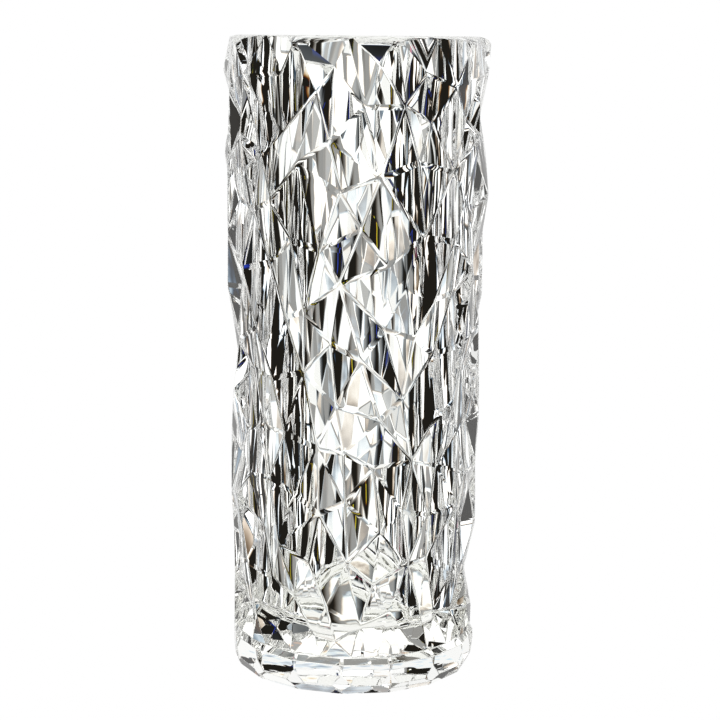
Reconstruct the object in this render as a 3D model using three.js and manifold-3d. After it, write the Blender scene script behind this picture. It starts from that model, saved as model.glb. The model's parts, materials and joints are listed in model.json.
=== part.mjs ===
// A heavy cut crystal vase: a facet-cut vessel with a polished round bore, bonded to a solid
// panelled foot by a thin film of clear adhesive.
//
// Millimetres, +Z up, with the front of the vase towards -Y. The origin is the centre of the
// underside, on the surface where the vase stands.

import * as THREE from 'three';
import { ConvexHull } from 'three/addons/math/ConvexHull.js';
import { mergeVertices } from 'three/addons/utils/BufferGeometryUtils.js';
import Module from 'manifold-3d';

const wasm = await Module();
wasm.setup();

// Driving dimensions -------------------------------------------------------------------------

// The whole vase
const VASE_HEIGHT = 300;
const RIM_DIAMETER = 127; // over the facet peaks, at the rim
const SEAM_DIAMETER = 118; // over the facet peaks, where the body meets the foot

// The bore
const BORE_DIAMETER = 80;
const FLOOR_THICKNESS = 7; // glass between the bore and the bond film
const FLOOR_FILLET = 8; // between the bore's wall and its floor

// The rim
const SHOULDER_RADIUS = 8; // its outer edge
const LIP_RADIUS = 2; // its inner edge

// The cut relief
const RELIEF_DEPTH = 6.5; // from the highest facet peaks down to the deepest stars
const UPRIGHT_BIAS = 0.62; // below 1, the facets come out taller than they are wide
const OUTLINE_CLEARANCE = 0.3; // how far the turned outline stands outside the facet peaks
const SECTORS = 3; // the cut pattern repeats this many times round the vase

// The foot
const FOOT_HEIGHT = 17;
const FOOT_PANELS = 16;
const FOOT_TURN = -5; // degrees from the front to the nearest edge between two panels
const FOOT_BEVEL_HEIGHT = 4.5;
const FOOT_BEVEL_INSET = 2.2;
const CORNER_CLIP_HEIGHT = 10; // the clipped lower corners, where two panels meet
const CORNER_CLIP_INSET = 1.6;

// The V groove at the seam, half of it on the foot and half on the body
const GROOVE_HEIGHT = 5;
const GROOVE_DEPTH = 2.6;

// The adhesive
const BOND_THICKNESS = 0.25;
const BOND_SETBACK = 0.6; // from the bottom of the groove in to the film's edge

// How finely round surfaces are divided
const ROUND_SEGMENTS = 72;
const ARC_STEPS = 5;

// Where the cutter's stars lie in one sector of the pattern: degrees from the sector's middle,
// height above the cut field's lower edge, and depth of cut from 0, a peak, to 1, the deepest.
// Heights are for a field of PATTERN_HEIGHT, and are stretched to the field that the vase has.
const PATTERN_HEIGHT = 280;
const STARS = [
  // the upper edge, at the rim
  [-44, 280, 0.9], [-25, 280, 0.1], [-3, 280, 0.5], [16, 280, 0.2], [37, 280, 0.7], [57, 280, 0.1],
  // first band
  [-56, 262, 0.2], [-33, 264, 0.3], [-9, 266, 0.0], [10, 268, 1.0], [29, 264, 0.1], [47, 258, 0.3],
  [-18, 256, 0.9], [3, 250, 0.1], [21, 250, 0.5], [36, 243, 1.0], [58, 243, 0.8],
  // second band
  [-57, 236, 0.0], [-36, 238, 1.0], [-48, 229, 0.8], [-26, 225, 0.2], [-11, 235, 0.2], [11, 219, 1.0],
  [-7, 213, 0.7], [26, 226, 0.0], [45, 221, 0.1], [57, 207, 0.5], [-38, 208, 0.0], [-54, 203, 0.7],
  // third band
  [33, 192, 0.9], [-17, 187, 1.0], [2, 197, 0.0], [15, 180, 0.9], [46, 190, 0.0], [-29, 191, 0.3],
  [-7, 173, 0.2], [23, 170, 0.6], [-44, 180, 0.9], [-58, 176, 0.1], [36, 165, 0.1], [52, 166, 0.9],
  // fourth band
  [-22, 160, 0.0], [-34, 156, 0.8], [-48, 150, 0.1], [3, 138, 1.0], [-11, 146, 0.4], [12, 153, 0.1],
  [40, 139, 1.0], [27, 148, 0.4], [56, 142, 0.2], [-57, 130, 0.9], [-25, 132, 0.9], [-39, 128, 0.2],
  // fifth band
  [23, 120, 0.9], [11, 112, 0.1], [-8, 118, 0.1], [49, 117, 0.1], [36, 107, 0.3], [-18, 97, 1.0],
  [-32, 104, 0.1], [-49, 104, 0.9], [58, 101, 0.7], [9, 89, 0.9], [-5, 96, 0.6], [26, 92, 0.1],
  [44, 87, 0.9], [-41, 82, 0.2], [-57, 80, 0.3],
  // sixth band
  [-17, 67, 0.8], [-29, 76, 0.5], [-4, 74, 0.1], [13, 58, 1.0], [22, 69, 0.2], [35, 66, 0.1],
  [53, 68, 0.0], [39, 44, 1.0], [-51, 57, 0.9], [-36, 52, 0.1], [-3, 44, 0.9], [-20, 44, 0.1],
  // seventh band
  [25, 44, 0.1], [9, 36, 0.1], [52, 36, 0.2], [-58, 38, 0.1], [-44, 32, 0.9], [-30, 27, 0.8],
  [-12, 24, 0.1], [-20, 9, 0.9], [3, 14, 0.8], [18, 21, 0.8], [32, 22, 0.2], [45, 17, 0.9],
  [-51, 14, 0.1], [-38, 11, 0.2], [58, 15, 0.8], [-8, 8, 0.3], [28, 6, 0.5],
  // the lower edge, at the seam
  [-56, 0, 0.3], [-43, 0, 0.1], [-29, 0, 0.2], [-14, 0, 0.1], [0, 0, 0.3], [12, 0, 0.1],
  [23, 0, 0.2], [37, 0, 0.1], [50, 0, 0.2],
];

// Values that follow from them ---------------------------------------------------------------

const seamRadius = SEAM_DIAMETER / 2;
const rimRadius = RIM_DIAMETER / 2;
const boreRadius = BORE_DIAMETER / 2;
const grooveRadius = seamRadius - GROOVE_DEPTH;
const bodyBottom = FOOT_HEIGHT + BOND_THICKNESS;
const boreFloor = bodyBottom + FLOOR_THICKNESS;
const fieldHeight = VASE_HEIGHT - bodyBottom;
const sectorAngle = 360 / SECTORS;
const BEYOND = 10; // how far a cutting shape runs past what it cuts
const SAME = 1e-6; // two heights closer than this are the same

// Solids -------------------------------------------------------------------------------------

/** A closed three.js geometry as a manifold solid. */
function solidFrom(geometry) {
  geometry.deleteAttribute('normal');
  geometry.deleteAttribute('uv');
  const merged = mergeVertices(geometry, 1e-4);
  const vertProperties = new Float32Array(merged.attributes.position.array);
  const triVerts = new Uint32Array(merged.index.array);
  return new wasm.Manifold(new wasm.Mesh({ numProp: 3, vertProperties, triVerts }));
}

/** A manifold solid as a three.js geometry. */
function geometryFrom(solid) {
  const { vertProperties, triVerts } = solid.getMesh();
  const geometry = new THREE.BufferGeometry();
  geometry.setAttribute('position', new THREE.BufferAttribute(new Float32Array(vertProperties), 3));
  geometry.setIndex(new THREE.BufferAttribute(new Uint32Array(triVerts), 1));
  geometry.computeVertexNormals();
  return geometry;
}

/** A solid of revolution about the Z axis, from a profile of [radius, height] pairs. */
function turned(profile, segments = ROUND_SEGMENTS) {
  const points = profile.map(([radius, height]) => new THREE.Vector2(radius, height));
  const lathe = new THREE.LatheGeometry(points, segments);
  lathe.rotateX(Math.PI / 2);
  return solidFrom(lathe);
}

/** Profile points along an arc about (radius, height), between two angles in degrees. */
function arc(radius, height, size, from, to) {
  const points = [];
  for (let step = 0; step <= ARC_STEPS; step += 1) {
    const angle = THREE.MathUtils.degToRad(THREE.MathUtils.lerp(from, to, step / ARC_STEPS));
    points.push([radius + size * Math.cos(angle), height + size * Math.sin(angle)]);
  }
  return points;
}

// The cut relief -----------------------------------------------------------------------------

/** The stars of every sector and of one spare sector at each side, with angles from the front. */
function starsRoundTheVase() {
  const stars = [];
  for (let sector = -1; sector <= SECTORS; sector += 1) {
    for (const [angle, height, depth] of STARS) {
      const stretched = (height * fieldHeight) / PATTERN_HEIGHT;
      stars.push({ angle: angle + sector * sectorAngle, height: stretched, depth });
    }
  }
  return stars;
}

/**
 * Joins stars into triangular facets. The stars are laid out flat and lifted onto a bowl, and
 * the lower side of the bowl's convex hull holds the best-proportioned triangles (Delaunay's).
 */
function facetsBetween(stars) {
  const arcPerDegree = THREE.MathUtils.degToRad((rimRadius + seamRadius) / 2);
  const lifted = stars.map(({ angle, height }) => {
    const x = angle * arcPerDegree;
    const y = height * UPRIGHT_BIAS;
    return new THREE.Vector3(x, y, (x * x + y * y) / VASE_HEIGHT);
  });
  const starAt = new Map(lifted.map((point, index) => [point, stars[index]]));
  const lowerSide = new ConvexHull().setFromPoints(lifted).faces.filter((face) => face.normal.z < -SAME);
  return lowerSide.map(({ edge }) => {
    const clockwiseFromBelow = [edge, edge.prev, edge.next];
    return clockwiseFromBelow.map((side) => starAt.get(side.head().point));
  });
}

/** Where a star lies on the vase. */
function starPosition({ angle, height, depth }) {
  // The turn is taken within one revolution, so that both ends of the seam get the same numbers.
  const turn = THREE.MathUtils.degToRad(THREE.MathUtils.euclideanModulo(angle, 360) - 90);
  const peak = THREE.MathUtils.lerp(seamRadius, rimRadius, height / fieldHeight);
  const radius = peak - depth * RELIEF_DEPTH;
  return [radius * Math.cos(turn), radius * Math.sin(turn), bodyBottom + height];
}

/** The solid inside the cut relief, with flat ends at the seam and at the rim. */
function reliefSolid() {
  const positions = [];
  const firstAngle = -sectorAngle / 2;
  for (const corners of facetsBetween(starsRoundTheVase())) {
    const middle = (corners[0].angle + corners[1].angle + corners[2].angle) / 3;
    if (middle < firstAngle || middle >= firstAngle + 360) continue;
    positions.push(...corners.flatMap(starPosition));
    corners.forEach((corner, index) => {
      const next = corners[(index + 1) % 3];
      for (const end of [0, fieldHeight]) {
        if (Math.abs(corner.height - end) > SAME || Math.abs(next.height - end) > SAME) continue;
        // A facet with an edge on a flat end is joined to the axis by a triangle in that end.
        positions.push(...starPosition(next), ...starPosition(corner), 0, 0, bodyBottom + end);
      }
    });
  }
  const geometry = new THREE.BufferGeometry();
  geometry.setAttribute('position', new THREE.Float32BufferAttribute(positions, 3));
  return solidFrom(geometry);
}

// The three pieces ---------------------------------------------------------------------------

/** The facet-cut vessel. */
function cutBody() {
  // The outline only trims the groove's upper half and the rim's shoulder.
  const shoulderCentre = rimRadius + OUTLINE_CLEARANCE - SHOULDER_RADIUS;
  const outline = turned([
    [0, bodyBottom],
    [grooveRadius, bodyBottom],
    [seamRadius + OUTLINE_CLEARANCE, bodyBottom + GROOVE_HEIGHT / 2],
    ...arc(shoulderCentre, VASE_HEIGHT - SHOULDER_RADIUS, SHOULDER_RADIUS, 0, 90),
    [0, VASE_HEIGHT],
  ]);
  const bore = turned([
    [0, boreFloor],
    ...arc(boreRadius - FLOOR_FILLET, boreFloor + FLOOR_FILLET, FLOOR_FILLET, -90, 0),
    ...arc(boreRadius + LIP_RADIUS, VASE_HEIGHT - LIP_RADIUS, LIP_RADIUS, 180, 90),
    [boreRadius + LIP_RADIUS, VASE_HEIGHT + BEYOND],
    [0, VASE_HEIGHT + BEYOND],
  ]);
  return reliefSolid().intersect(outline).subtract(bore);
}

/** The solid foot: upright flat panels with a bevel under them and clipped corners between them. */
function foot() {
  const panels = turned([
    [0, 0],
    [seamRadius - FOOT_BEVEL_INSET, 0],
    [seamRadius, FOOT_BEVEL_HEIGHT],
    [seamRadius, FOOT_HEIGHT - GROOVE_HEIGHT / 2],
    [grooveRadius, FOOT_HEIGHT],
    [0, FOOT_HEIGHT],
  ], FOOT_PANELS);

  // The clipping shape has its flats where the panels have their corners.
  const halfPanel = 180 / FOOT_PANELS;
  const flatToCorner = 1 / Math.cos(THREE.MathUtils.degToRad(halfPanel));
  const clipRadius = (height) => {
    const outset = (CORNER_CLIP_INSET * (height - CORNER_CLIP_HEIGHT)) / CORNER_CLIP_HEIGHT;
    return (seamRadius + outset) * flatToCorner;
  };
  const clipBottom = -BEYOND;
  const clipTop = FOOT_HEIGHT + BEYOND;
  const clip = turned([
    [0, clipBottom],
    [clipRadius(clipBottom), clipBottom],
    [clipRadius(clipTop), clipTop],
    [0, clipTop],
  ], FOOT_PANELS);
  return panels.intersect(clip.rotate([0, 0, halfPanel])).rotate([0, 0, FOOT_TURN]);
}

/** The adhesive between them. */
function bondFilm() {
  const footTopInradius = grooveRadius * Math.cos(Math.PI / FOOT_PANELS);
  const radius = footTopInradius - BOND_SETBACK;
  return turned([
    [0, FOOT_HEIGHT],
    [radius, FOOT_HEIGHT],
    [radius, bodyBottom],
    [0, bodyBottom],
  ]);
}

/** One named piece of the vase. */
function piece(name, solid, color, roughness) {
  const material = new THREE.MeshStandardMaterial({ color, roughness, metalness: 0 });
  const mesh = new THREE.Mesh(geometryFrom(solid), material);
  mesh.name = name;
  return mesh;
}

const vase = new THREE.Group();
vase.add(piece('cut_body', cutBody(), 0xf4f6f5, 0.03));
vase.add(piece('foot', foot(), 0xf4f6f5, 0.03));
vase.add(piece('bond_film', bondFilm(), 0xf0f2ec, 0.08));

export default vase;
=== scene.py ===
# %% [markdown]
# # A cut crystal vase, finished around its CAD frame
# The vase is a thick tube of clear crystal, cut all over with flat facets that meet in star points,
# and bonded to a solid foot. The CAD frame holds the true sizes. This lesson gives each piece its
# polished surfaces, its fine creases and its glass, and then sets up the small studio around it.
# Everything is in metres, and the front of the vase looks towards -Y.

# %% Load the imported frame
import json
import math

import bmesh
import bpy
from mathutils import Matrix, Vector

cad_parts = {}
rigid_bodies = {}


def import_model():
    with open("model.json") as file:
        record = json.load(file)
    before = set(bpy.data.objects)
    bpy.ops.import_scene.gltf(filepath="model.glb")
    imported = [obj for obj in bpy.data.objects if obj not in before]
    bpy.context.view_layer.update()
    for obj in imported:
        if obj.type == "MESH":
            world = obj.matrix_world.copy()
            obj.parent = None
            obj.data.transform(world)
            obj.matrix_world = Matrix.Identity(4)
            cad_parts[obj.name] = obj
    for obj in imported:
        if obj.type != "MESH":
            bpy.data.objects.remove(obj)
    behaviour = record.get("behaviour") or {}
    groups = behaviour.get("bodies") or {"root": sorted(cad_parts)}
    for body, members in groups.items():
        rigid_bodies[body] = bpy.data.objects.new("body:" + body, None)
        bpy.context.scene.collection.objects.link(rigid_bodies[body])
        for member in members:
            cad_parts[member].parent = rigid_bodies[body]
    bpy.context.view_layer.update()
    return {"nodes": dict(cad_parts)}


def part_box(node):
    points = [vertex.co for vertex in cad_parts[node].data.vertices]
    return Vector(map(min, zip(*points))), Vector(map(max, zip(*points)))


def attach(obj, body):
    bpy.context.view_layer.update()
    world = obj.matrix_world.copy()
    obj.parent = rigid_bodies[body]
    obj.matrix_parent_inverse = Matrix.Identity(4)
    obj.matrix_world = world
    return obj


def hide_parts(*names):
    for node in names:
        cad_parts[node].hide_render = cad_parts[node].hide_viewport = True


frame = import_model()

# %% [markdown]
# ## Sizes read from the frame
# A bore can't be seen in a bounding box, so its sizes are read from the corners of the CAD body. The
# corners inside the lip and above the seam belong to the bore: the largest radius among them is its
# wall, and the lowest of them is its floor. The glass then stays true to the frame if a size changes.

# %% Read the sizes
MM = 0.001
CLOSE = 0.01 * MM  # corners this near in height or radius belong to one face or round
WELD = 0.001 * MM  # corners this near are one corner

body_low, body_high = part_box("cut_body")
foot_low, foot_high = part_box("foot")
film_low, film_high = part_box("bond_film")


def radius_of(point):
    """Distance of a point from the vase's axis."""
    return math.hypot(point.x, point.y)


body_corners = [vertex.co.copy() for vertex in frame["nodes"]["cut_body"].data.vertices]
rim_height = body_high.z
seam_height = body_low.z
rim_corners = [point for point in body_corners if rim_height - point.z < CLOSE]
lip_radius = min(radius_of(point) for point in rim_corners)
bore_corners = [
    point for point in body_corners
    if radius_of(point) < lip_radius - CLOSE and point.z > seam_height + CLOSE
]
bore_radius = max(radius_of(point) for point in bore_corners if point.z < rim_height / 2)
bore_floor = min(point.z for point in bore_corners)
film_radius = film_high.x
lip_size = lip_radius - bore_radius
print("bore radius %.2f mm, floor at %.2f mm, lip %.2f mm" % (
    bore_radius / MM, bore_floor / MM, lip_size / MM))

# %% [markdown]
# ## The camera
# A long lens, level with the rim, looks slightly down at the vase. From there the rim is a straight
# line and the foot shows its curve. A product photographer works this way to keep a tall cylinder
# straight. The tiny roll stands in for a tripod that isn't quite level.

# %% Place the camera
EYE_DISTANCE = 0.834
LOOK_DOWN = math.radians(10.4)
CAMERA_ROLL = math.radians(0.48)
LENS = 88.4
SENSOR = 36.0
SIDE_SHIFT = 0.007

camera_data = bpy.data.cameras.new("camera")
camera_data.lens = LENS
camera_data.sensor_width = SENSOR
camera_data.shift_x = SIDE_SHIFT
camera = bpy.data.objects.new("camera", camera_data)
camera.location = (0.0, -EYE_DISTANCE, rim_height)
camera.rotation_mode = "XYZ"
camera.rotation_euler = (math.pi / 2 - LOOK_DOWN, 0.0, 0.0)
camera.rotation_euler.rotate_axis("Z", CAMERA_ROLL)
bpy.context.scene.collection.objects.link(camera)
bpy.context.scene.camera = camera
print("camera at", [round(value, 3) for value in camera.location])

# %% [markdown]
# ## Tools for materials
# A material here is a small tree of nodes, made in code. Two helpers keep each tree short to read:
# one adds a node with its values, and the other starts a material that holds nothing but its output.

# %% Helpers for shader nodes
def add_node(tree, kind, **values):
    """A new node with its inputs set by name."""
    node = tree.nodes.new(kind)
    for name, value in values.items():
        node.inputs[name.replace("_", " ")].default_value = value
    return node


def empty_material(name):
    """A node material with only its output."""
    material = bpy.data.materials.new(name)
    material.use_nodes = True
    material.node_tree.nodes.clear()
    output = material.node_tree.nodes.new("ShaderNodeOutputMaterial")
    return material, material.node_tree, output


print("helpers:", add_node.__name__, empty_material.__name__)

# %% [markdown]
# ## Crystal
# Clear crystal has almost no colour of its own. What the eye sees is the room, bent by every facet, so
# the glass needs the right refractive index and a very clean surface more than it needs a colour.
# Polished facets are never perfectly flat: polishing leaves a slow waviness, and this is what bends
# long reflections into streaks. A soft noise, read in object space, gives that waviness to the normals.
#
# A Principled shader alone would do, but at each surface it picks by chance whether light is mirrored
# or goes through. In a thick block with hundreds of facets, those chances multiply into grain. So only
# the first surface that the eye meets is the full Principled glass, with its real reflection. Further
# in, each surface takes its main path: straight through, or mirrored where the light strikes so flat
# that it is trapped. The Fresnel node says which, because it reads 1 where light is trapped.

# %% Make the crystal
CRYSTAL_INDEX = 1.55
CRYSTAL_COLOUR = (0.985, 0.988, 0.978, 1.0)
MIRROR_COLOUR = (1.0, 1.0, 1.0, 1.0)
WAVE_DEPTH = 0.2 * MM
TRAPPED = 0.5  # mirrored share above which light counts as trapped


def crystal_material(name, waviness, wave_scale):
    """Polished crystal, with a slow waviness in its surface."""
    material, tree, output = empty_material(name)
    place = tree.nodes.new("ShaderNodeTexCoord")
    wave = add_node(tree, "ShaderNodeTexNoise", Scale=wave_scale, Detail=1.0, Roughness=0.4)
    tree.links.new(place.outputs["Object"], wave.inputs["Vector"])
    bump = add_node(tree, "ShaderNodeBump", Strength=waviness, Distance=WAVE_DEPTH)
    tree.links.new(wave.outputs["Fac"], bump.inputs["Height"])

    glass = add_node(tree, "ShaderNodeBsdfPrincipled", IOR=CRYSTAL_INDEX, Roughness=0.0)
    glass.inputs["Transmission Weight"].default_value = 1.0
    glass.inputs["Base Color"].default_value = CRYSTAL_COLOUR
    crossing = add_node(tree, "ShaderNodeBsdfRefraction", IOR=CRYSTAL_INDEX, Roughness=0.0)
    crossing.inputs["Color"].default_value = CRYSTAL_COLOUR
    mirror = add_node(tree, "ShaderNodeBsdfGlossy", Roughness=0.0, Color=MIRROR_COLOUR)
    fresnel = add_node(tree, "ShaderNodeFresnel", IOR=CRYSTAL_INDEX)
    trapped = tree.nodes.new("ShaderNodeMath")
    trapped.operation = "GREATER_THAN"
    trapped.inputs[1].default_value = TRAPPED
    tree.links.new(fresnel.outputs["Fac"], trapped.inputs[0])
    for node in (glass, crossing, mirror, fresnel):
        tree.links.new(bump.outputs["Normal"], node.inputs["Normal"])
    inside = tree.nodes.new("ShaderNodeMixShader")
    tree.links.new(trapped.outputs["Value"], inside.inputs["Fac"])
    tree.links.new(crossing.outputs["BSDF"], inside.inputs[1])
    tree.links.new(mirror.outputs["BSDF"], inside.inputs[2])
    path = tree.nodes.new("ShaderNodeLightPath")
    whole = tree.nodes.new("ShaderNodeMixShader")
    tree.links.new(path.outputs["Is Camera Ray"], whole.inputs["Fac"])
    tree.links.new(inside.outputs["Shader"], whole.inputs[1])
    tree.links.new(glass.outputs["BSDF"], whole.inputs[2])
    tree.links.new(whole.outputs["Shader"], output.inputs["Surface"])
    return material


crystal = crystal_material("crystal", waviness=0.6, wave_scale=70.0)
foot_crystal = crystal_material("foot_crystal", waviness=0.3, wave_scale=100.0)
print("crystal index", CRYSTAL_INDEX)

# %% [markdown]
# ## Bonded faces
# Where the body and the foot are glued, the adhesive has the same refractive index as the crystal,
# so light crosses the joint without bending or reflecting. A glass shader would show a mirror there,
# because it takes what lies outside a surface to be air. The bonded faces are therefore fully clear,
# and only the faces that meet the air are glass.

# %% Make the bonded faces' finish
ADHESIVE_TINT = (0.995, 0.995, 0.99, 1.0)


def bonded_material():
    """Index-matched glass to glass: light goes straight on, with a trace of the adhesive's tint."""
    material, tree, output = empty_material("bonded_face")
    clear = tree.nodes.new("ShaderNodeBsdfTransparent")
    clear.inputs["Color"].default_value = ADHESIVE_TINT
    tree.links.new(clear.outputs["BSDF"], output.inputs["Surface"])
    return material


bonded = bonded_material()
print("materials:", crystal.name, foot_crystal.name, bonded.name)

# %% [markdown]
# ## From CAD mesh to glass
# The outer facets of the CAD body have the right shape, so a copy of that mesh is the start. Three
# things are missing for glass: the bore must be truly round, or its flat strips would show as bars;
# the creases between facets must be a hair round, because that is what draws the thin bright lines;
# and flat facets must be shaded flat, while round parts are shaded smooth.
#
# The CAD mesh is loose triangles, so its doubles are merged first, and the edges that run across one
# flat facet are dissolved. Creases are then beveled by a share of the facets beside them, not by a
# fixed width: a fixed width would run past the smallest facets and make spikes.

# %% Helpers for the mesh work
CREASE_ANGLE = math.radians(2.0)
COPLANAR = math.radians(0.05)
CREASE_SHARE = 5.0  # percent of the facet on each side


def merged_copy(node):
    """The CAD node's mesh as a bmesh, with its loose triangles joined and flat areas made whole."""
    mesh = bmesh.new()
    mesh.from_mesh(frame["nodes"][node].data)
    bmesh.ops.remove_doubles(mesh, verts=mesh.verts, dist=WELD)
    flat_edges = [edge for edge in mesh.edges if edge.calc_face_angle() < COPLANAR]
    bmesh.ops.dissolve_edges(mesh, edges=flat_edges, use_verts=False)
    return mesh


def round_creases(mesh, edges):
    """Rounds these edges over a share of the facets beside them, and smooths the new strips."""
    result = bmesh.ops.bevel(
        mesh, geom=edges, offset=CREASE_SHARE, offset_type="PERCENT", affect="EDGES", segments=3,
        profile=0.5, clamp_overlap=False, material=-1,
    )
    for face in result["faces"]:
        face.smooth = True
    return len(result["faces"])


def put_in_order(mesh):
    """Sorts a mesh's elements by place, because a spin or an extrusion leaves them in no fixed order."""
    for index, vertex in enumerate(sorted(mesh.verts, key=lambda vertex: tuple(vertex.co))):
        vertex.index = index
    mesh.verts.sort()
    for sequence in (mesh.edges, mesh.faces):
        ranked = sorted(sequence, key=lambda item: sorted(vertex.index for vertex in item.verts))
        for index, item in enumerate(ranked):
            item.index = index
        sequence.sort()


def finished_piece(name, mesh, materials):
    """A closed mesh as an object, in a fixed order, with outward faces and its materials."""
    put_in_order(mesh)
    bmesh.ops.recalc_face_normals(mesh, faces=mesh.faces)
    data = bpy.data.meshes.new(name)
    mesh.to_mesh(data)
    mesh.free()
    for material in materials:
        data.materials.append(material)
    piece = bpy.data.objects.new(name, data)
    bpy.context.scene.collection.objects.link(piece)
    return piece


def open_edges(mesh):
    """How many edges don't have exactly two faces; a closed mesh has none."""
    return sum(1 for edge in mesh.edges if len(edge.link_faces) != 2)


print("creases over %.0f degrees are rounded over %.0f%% of a facet" % (
    math.degrees(CREASE_ANGLE), CREASE_SHARE))

# %% [markdown]
# ## The body's outside
# The CAD bore and the flat ring of the rim are taken away first, which leaves an open skin with the
# facets, the rounded shoulder and the underside. Only the skin is kept, because the bore is spun anew.

# %% Open the skin
def in_bore(face):
    """Whether a face lies within the lip and above the underside."""
    centre = face.calc_center_median()
    return radius_of(centre) < lip_radius and centre.z > seam_height + MM


def on_rim(face):
    """Whether a face is part of the flat ring of the rim."""
    return all(rim_height - vertex.co.z < CLOSE for vertex in face.verts)


body = merged_copy("cut_body")
cut_away = [face for face in body.faces if in_bore(face) or on_rim(face)]
bmesh.ops.delete(body, geom=cut_away, context="FACES")
loose = [vertex for vertex in body.verts if not vertex.link_faces]
bmesh.ops.delete(body, geom=loose, context="VERTS")
print("open skin:", len(body.faces), "faces,", open_edges(body), "edges round the rim")

# %% [markdown]
# ## The bonded disc
# The film doesn't reach the edge of the face that it joins: a narrow ring round it is open to the air.
# So the flat face is drawn again as a disc of the film's radius and a ring, bridged to the outline, and
# the disc gets the clear finish. This comes before the creases are rounded, while the outline is simple.

# %% Mark the bonded part of the underside
ROUND_STEPS = 240


def mark_bonded(mesh, height):
    """Redraws the flat face at this height as a disc of the second material, with a ring round it."""
    flat = [face for face in mesh.faces if all(abs(vertex.co.z - height) < CLOSE for vertex in face.verts)]
    outline = [edge for edge in mesh.edges if sum(face in flat for face in edge.link_faces) == 1]
    bmesh.ops.delete(mesh, geom=flat, context="FACES")
    made = bmesh.ops.create_circle(mesh, cap_ends=True, segments=ROUND_STEPS, radius=film_radius)
    circle = made["verts"]
    bmesh.ops.translate(mesh, verts=circle, vec=(0, 0, height))
    disc = circle[0].link_faces[0]
    disc.material_index = 1
    bmesh.ops.bridge_loops(mesh, edges=outline + list(disc.edges))
    return disc.calc_area()


bonded_area = mark_bonded(body, seam_height)
print("bonded area %.0f mm2," % (bonded_area / MM ** 2), open_edges(body), "open edges")

# %% [markdown]
# ## The creases
# On the real vase every crease between facets is polished to a fine round, which draws a thin bright
# line with a dark border. Where two cuts nearly meet they leave very short edges, and a bevel would
# shrink there, so those are merged first. The shoulder is already a round surface, so its own edges are
# left alone and it is shaded smooth.

# %% Round the creases
SHOULDER_HEIGHT = 8.1 * MM
SHOULDER_SLOPE = 0.2  # a shoulder face leans at least this far upwards
SHORT_EDGE = 1.2 * MM


def on_shoulder(face):
    """Whether a face belongs to the turned shoulder: it lies near the rim and leans upwards."""
    centre = face.calc_center_median()
    return rim_height - centre.z < SHOULDER_HEIGHT and face.normal.z > SHOULDER_SLOPE


rim_loop = {vertex for edge in body.edges if edge.is_boundary for vertex in edge.verts}
outer_corners = [
    vertex for vertex in body.verts
    if vertex not in rim_loop and radius_of(vertex.co) > film_radius + MM
]
bmesh.ops.remove_doubles(body, verts=outer_corners, dist=SHORT_EDGE)
for face in body.faces:
    face.smooth = on_shoulder(face)
creases = [
    edge for edge in body.edges
    if len(edge.link_faces) == 2 and edge.calc_face_angle() > CREASE_ANGLE
    and not any(face.smooth for face in edge.link_faces)
]
crease_count = len(creases)
strips = round_creases(body, creases)
print("rounded", crease_count, "creases into", strips, "strips")

# %% [markdown]
# ## The bore
# A bore is turned, so here it is spun: a profile of the floor, the fillet, the wall and the polished
# lip goes once round the axis in many steps. Its open top is then bridged to the shoulder's inner
# edge, which makes the flat ring of the rim. The bridge pairs corners in the order that it finds them,
# so the mesh is sorted first, and each run gives the same ring. Spinning was chosen over a boolean cut
# because it keeps clean rings that shade smoothly.

# %% Spin the bore and close the rim
FILLET_STEPS = 10
FILLET_RADIUS = 8.0 * MM


def arc_points(radius, height, size, start, end, steps):
    """Points of an arc in the XZ plane about (radius, height), between two angles in degrees."""
    points = []
    for step in range(steps + 1):
        angle = math.radians(start + (end - start) * step / steps)
        points.append(Vector((radius + size * math.cos(angle), 0.0, height + size * math.sin(angle))))
    return points


fillet = arc_points(
    bore_radius - FILLET_RADIUS, bore_floor + FILLET_RADIUS, FILLET_RADIUS, -90, 0, FILLET_STEPS)
lip = arc_points(lip_radius, rim_height - lip_size, lip_size, 180, 90, FILLET_STEPS)
profile = [Vector((0.0, 0.0, bore_floor))] + fillet + lip
profile_vertices = [body.verts.new(point) for point in profile]
profile_edges = [body.edges.new(pair) for pair in zip(profile_vertices, profile_vertices[1:])]
bmesh.ops.spin(
    body, geom=profile_vertices + profile_edges, cent=(0, 0, 0), axis=(0, 0, 1), angle=2 * math.pi,
    steps=ROUND_STEPS, use_merge=True,
)
on_axis = [vertex for vertex in body.verts if radius_of(vertex.co) < MM]
bmesh.ops.remove_doubles(body, verts=on_axis, dist=WELD)
put_in_order(body)
for face in body.faces:
    if in_bore(face):
        face.smooth = True
rim_edges = [edge for edge in body.edges if edge.is_boundary]
bmesh.ops.bridge_loops(body, edges=rim_edges)
print("body:", len(body.faces), "faces,", open_edges(body), "open edges")

# %% [markdown]
# ## The body as a piece
# The finished mesh becomes one object. It stands for the CAD body, which stays hidden behind it for
# collision, and it rides on the same rigid body, root.

# %% Finish the body
crystal_body = finished_piece("crystal_body", body, [crystal, bonded])
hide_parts("cut_body")
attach(crystal_body, "root")
print("crystal_body stands for cut_body")

# %% [markdown]
# ## The foot
# The foot is a solid disc with sixteen upright panels. Its edges are ground and polished like the
# facets above, so it is made the same way: the CAD mesh, with each edge a hair round.

# %% Make the foot
foot = merged_copy("foot")
mark_bonded(foot, foot_high.z)
for face in foot.faces:
    face.smooth = False
foot_edges = [edge for edge in foot.edges if edge.calc_face_angle() > CREASE_ANGLE]
strips = round_creases(foot, foot_edges)
print("foot:", len(foot.faces), "faces,", strips, "strips,", open_edges(foot), "open edges")
crystal_foot = finished_piece("crystal_foot", foot, [foot_crystal, bonded])
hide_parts("foot")
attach(crystal_foot, "root")

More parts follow.
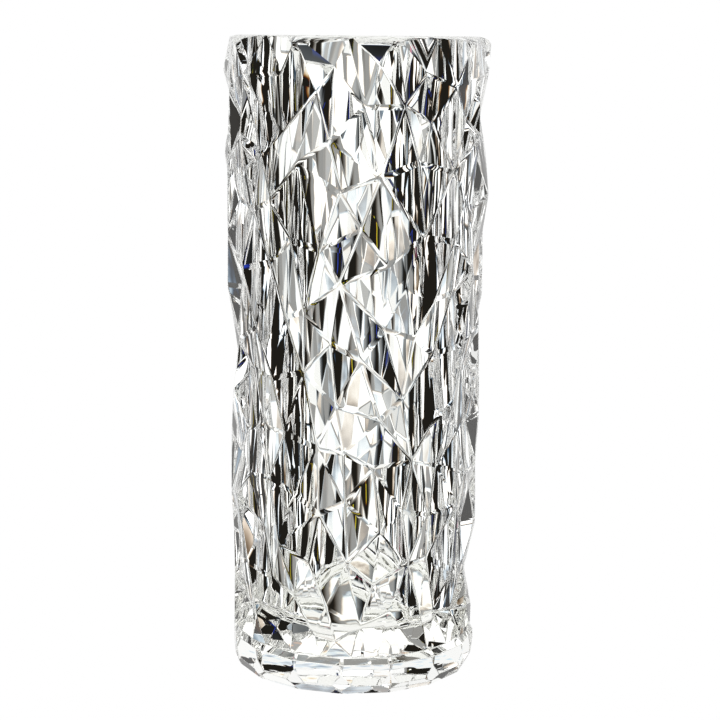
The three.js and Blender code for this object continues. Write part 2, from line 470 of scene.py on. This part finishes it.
# %% [markdown]
# ## The bond film
# The adhesive is a disc thinner than a visiting card. Only its edge meets the air, deep in the groove,
# so its edge is glass and its two flat faces are bonded. A circle is extruded to the film's height.

# %% Make the bond film
UPRIGHT = 0.5  # a face with less of its normal along Z stands upright

film = bmesh.new()
bmesh.ops.create_circle(film, cap_ends=True, segments=ROUND_STEPS, radius=film_radius)
bmesh.ops.translate(film, verts=film.verts, vec=(0, 0, film_low.z))
top = bmesh.ops.extrude_face_region(film, geom=film.faces[:])["geom"]
raised = [item for item in top if isinstance(item, bmesh.types.BMVert)]
bmesh.ops.translate(film, verts=raised, vec=(0, 0, film_high.z - film_low.z))
for face in film.faces:
    upright = abs(face.normal.z) < UPRIGHT
    face.smooth = upright
    face.material_index = 0 if upright else 1
print("film:", len(film.faces), "faces,", open_edges(film), "open edges")
bond_layer = finished_piece("bond_layer", film, [crystal, bonded])
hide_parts("bond_film")
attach(bond_layer, "root")

# %% [markdown]
# ## The studio
# Glass is lit by its surroundings. This is bright-field light: white panels straight behind the vase
# make its middle clear, and dark gaps beside them give the flanks their black streaks, because thick
# glass bends the view sideways there. More panels at the sides, in front and overhead bring white back
# between the streaks. Lamps wouldn't do: clear glass shows what it points at, so the panels are painted
# on the world by direction. That takes a little arithmetic in nodes, and these helpers write it.

# %% Helpers for arithmetic on the world
world = bpy.data.worlds.new("studio")
bpy.context.scene.world = world
world.use_nodes = True
sky = world.node_tree
sky.nodes.clear()


def sky_node(kind, operation, *values):
    """A node of the world with an operation, its inputs linked or set in order. Returns its first output."""
    node = sky.nodes.new(kind)
    node.operation = operation
    for socket, value in zip(node.inputs, values):
        if isinstance(value, bpy.types.NodeSocket):
            sky.links.new(value, socket)
        else:
            socket.default_value = value
    return node.outputs[0]


def scalar(operation, *values):
    """One step of arithmetic on numbers."""
    return sky_node("ShaderNodeMath", operation, *values)


def triple(operation, *values):
    """One step of arithmetic on red, green and blue at once."""
    return sky_node("ShaderNodeVectorMath", operation, *values)


direction = sky.nodes.new("ShaderNodeTexCoord").outputs["Generated"]
split = sky.nodes.new("ShaderNodeSeparateXYZ")
sky.links.new(direction, split.inputs[0])
DEGREES = 180 / math.pi
turn = scalar("MULTIPLY", scalar("ARCTAN2", split.outputs["X"], split.outputs["Y"]), DEGREES)
climb = scalar("MULTIPLY", scalar("ARCSINE", split.outputs["Z"]), DEGREES)
print("directions are read as degrees round and degrees up")

# %% [markdown]
# ## Coloured edges
# Crystal bends blue light a little more than red, so the border of a bright panel shows blue on one
# side and amber on the other. The renderer bends all colours alike. So the fringe is put into the
# panels: red, green and blue each see every panel edge a fraction of a degree apart.

# %% Helpers for coloured edges
FRINGE = 0.12  # degrees between the edges seen in red, green and blue


def fringed(angle):
    """An angle in degrees for red, green and blue, each a little apart."""
    join = sky.nodes.new("ShaderNodeCombineXYZ")
    sky.links.new(scalar("ADD", angle, FRINGE), join.inputs[0])
    sky.links.new(angle, join.inputs[1])
    sky.links.new(scalar("SUBTRACT", angle, FRINGE), join.inputs[2])
    return join.outputs[0]


def soft_step(values, off, on):
    """0 at one angle, 1 at the other, and smooth between, for red, green and blue."""
    step = sky.nodes.new("ShaderNodeMapRange")
    step.data_type = "FLOAT_VECTOR"
    step.interpolation_type = "SMOOTHSTEP"
    inputs = [socket for socket in step.inputs if socket.type == "VECTOR"]
    sky.links.new(values, inputs[0])
    inputs[1].default_value = (off, off, off)
    inputs[2].default_value = (on, on, on)
    return next(socket for socket in step.outputs if socket.type == "VECTOR")


turns = fringed(turn)
climbs = fringed(climb)
print("fringe of %.2f degrees" % FRINGE)

# %% [markdown]
# ## One panel of light
# A panel is a softbox seen from the vase: so many degrees wide, so many high, with a soft border. Its
# width, its foot and its top are three soft steps multiplied together.

# %% A helper for one panel
WHITE = (1.0, 1.0, 1.0)


def panel(centre, half_width, low, high, strength, softness, tint=WHITE):
    """A soft-edged panel of light: degrees round from behind the vase, and degrees above the horizon."""
    half_soft = softness / 2
    offset = triple("ABSOLUTE", triple("SUBTRACT", turns, (centre, centre, centre)))
    shape = soft_step(offset, half_width + half_soft, half_width - half_soft)
    above = soft_step(climbs, low - half_soft, low + half_soft)
    below = soft_step(climbs, high + half_soft, high - half_soft)
    shape = triple("MULTIPLY", shape, triple("MULTIPLY", above, below))
    return triple("MULTIPLY", shape, tuple(strength * part for part in tint))


print("a panel is given by its centre, half width, low edge, high edge, strength and softness")

# %% [markdown]
# ## Where the panels hang
# Behind the vase the light is in bands of different strength, one above another, because facets that
# lean a little more or less up each show another band. That gives neighbouring facets their different
# greys. The gap just above the horizon turns the facets under the rim dark, and the dimmer strip higher
# up outlines the foot's lower edge. At the sides the panels are narrow, and the black between them
# makes the streaks. The few thin coloured lines stand for the pure colours that a sharp edge of glass
# throws: a facet shows one only where it looks just past a panel's border.

# %% Hang the panels
BLUE = (0.05, 0.12, 1.0)
YELLOW = (1.0, 0.8, 0.05)
RED = (1.0, 0.1, 0.3)
DARK = (0.012, 0.0105, 0.008)  # what is left of the room between the panels

# Each row: centre, half width, low edge, high edge, strength, softness, and a tint where it isn't white.
PANELS_BEHIND = [
    (0, 20, -40, 6, 0.34, 6),
    (0, 15, -36, -30, 0.5, 2),
    (0, 17, -26, -19, 0.85, 2),
    (0, 18, -15, -9, 0.7, 2),
    (2, 14, -4, 5, 1.05, 2),
    (-3, 7, -22, -5, 0.2, 3),
]
PANELS_ABOVE = [
    (0, 80, 11, 20.7, 1.0, 1),
    (0, 60, 20.7, 24.3, 0.42, 0.6),
    (0, 80, 24.3, 70, 1.0, 0.6),
    (0, 180, 26, 70, 0.3, 6),
]
PANELS_BESIDE = [
    (-46, 5, -40, -15, 1.7, 3),
    (-49, 5, -11, 6, 1.7, 3),
    (46, 5, -40, -18, 1.7, 3),
    (43, 5, -13, 4, 1.7, 3),
    (-88, 6, -40, -8, 1.4, 3),
    (-92, 6, -4, 12, 1.4, 3),
    (90, 7, -40, -10, 1.4, 3),
    (92, 7, -6, 12, 1.4, 3),
    (-114, 6, -40, 12, 1.4, 3),
    (116, 6, -40, 12, 1.4, 3),
    (-137, 6, -40, 12, 1.4, 4),
    (139, 6, -40, 12, 1.4, 4),
    (171, 9, -20, 60, 1.6, 6),
]
COLOURED_LINES = [
    (25, 0.5, -9, -1, 0.5, 0.8, BLUE),
    (-25, 0.5, -14, -7, 0.7, 0.8, YELLOW),
    (8, 6, 7.2, 7.9, 0.2, 0.5, BLUE),
    (20, 7, -28.6, -27.8, 0.5, 0.6, RED),
]
GLOW_STARTS, GLOW_FULL = -36.0, -44.0  # the bright floor, seen steeply down through the foot

floor_glow = soft_step(climbs, GLOW_STARTS, GLOW_FULL)
light = triple("ADD", floor_glow, DARK)
panels = PANELS_BEHIND + PANELS_ABOVE + PANELS_BESIDE + COLOURED_LINES
for values in panels:
    light = triple("ADD", light, panel(*values))
print("hung", len(panels), "panels and lines")

# %% [markdown]
# ## Backdrop and mirror images
# Seen directly, the backdrop is plain white. Light mirrored off the outside of a facet sees one broad,
# plain panel instead of the narrow ones: those mirror images are faint, and if they held every gap and
# band, they would only lay a grain over the dark facets.

# %% Choose what each ray sees
paths = sky.nodes.new("ShaderNodeLightPath")


def chosen(factor, first, second):
    """The first colour where the factor is 0, and the second where it is 1."""
    mix = sky.nodes.new("ShaderNodeMix")
    mix.data_type = "RGBA"
    sky.links.new(factor, mix.inputs[0])
    for socket, value in zip([socket for socket in mix.inputs if socket.type == "RGBA"], (first, second)):
        if isinstance(value, bpy.types.NodeSocket):
            sky.links.new(value, socket)
        else:
            socket.default_value = (*value, 1.0)
    return next(socket for socket in mix.outputs if socket.type == "RGBA")


BROAD_PANEL = (0, 74, -90, 90, 0.8, 20)
BROAD_REST = (0.05, 0.048, 0.044)
glints = triple("ADD", panel(*BROAD_PANEL), BROAD_REST)
surroundings = chosen(paths.outputs["Is Reflection Ray"], light, glints)
colour = chosen(paths.outputs["Is Camera Ray"], surroundings, WHITE)
background = sky.nodes.new("ShaderNodeBackground")
sky.links.new(colour, background.inputs["Color"])
world_output = sky.nodes.new("ShaderNodeOutputWorld")
sky.links.new(background.outputs["Background"], world_output.inputs["Surface"])
print("world nodes:", len(sky.nodes))

# %% [markdown]
# ## The floor
# The floor is a stage, not part of the vase. It is bright enough to lose its own shadows, as an overlit
# acrylic table does. The glass looks through it to the panels, because a table would hide the ones that
# hang low.

# %% Make the floor
FLOOR_REACH = 2.0

floor_material, floor_tree, floor_output = empty_material("white_floor")
glow = add_node(floor_tree, "ShaderNodeEmission", Color=(1.0, 1.0, 1.0, 1.0), Strength=1.0)
floor_tree.links.new(glow.outputs["Emission"], floor_output.inputs["Surface"])

floor_mesh = bmesh.new()
bmesh.ops.create_grid(floor_mesh, x_segments=1, y_segments=1, size=FLOOR_REACH)
bmesh.ops.translate(floor_mesh, verts=floor_mesh.verts, vec=(0, 0, foot_low.z))
floor_data = bpy.data.meshes.new("studio_floor")
floor_mesh.to_mesh(floor_data)
floor_mesh.free()
floor_data.materials.append(floor_material)
floor = bpy.data.objects.new("studio_floor", floor_data)
bpy.context.scene.collection.objects.link(floor)
floor.visible_transmission = False
floor.visible_glossy = False
print("floor at height", round(foot_low.z, 4))

# %% [markdown]
# ## How light is followed
# A ray crosses the vase many times before it leaves, and it is lost, and black, when its count of
# bounces runs out. Thick cut glass needs many more than the usual twelve. The denoiser is given the
# picture alone: with its usual guides it takes the facets seen through the glass for noise and smears
# them. The plain Standard view keeps white panels white.

# %% Set the light paths and the tones
scene = bpy.context.scene
scene.cycles.max_bounces = 40
scene.cycles.transmission_bounces = 40
scene.cycles.glossy_bounces = 24
scene.cycles.transparent_max_bounces = 48
scene.cycles.use_denoising = True
scene.cycles.denoising_input_passes = "RGB"
scene.view_settings.view_transform = "Standard"
print("up to", scene.cycles.max_bounces, "bounces")
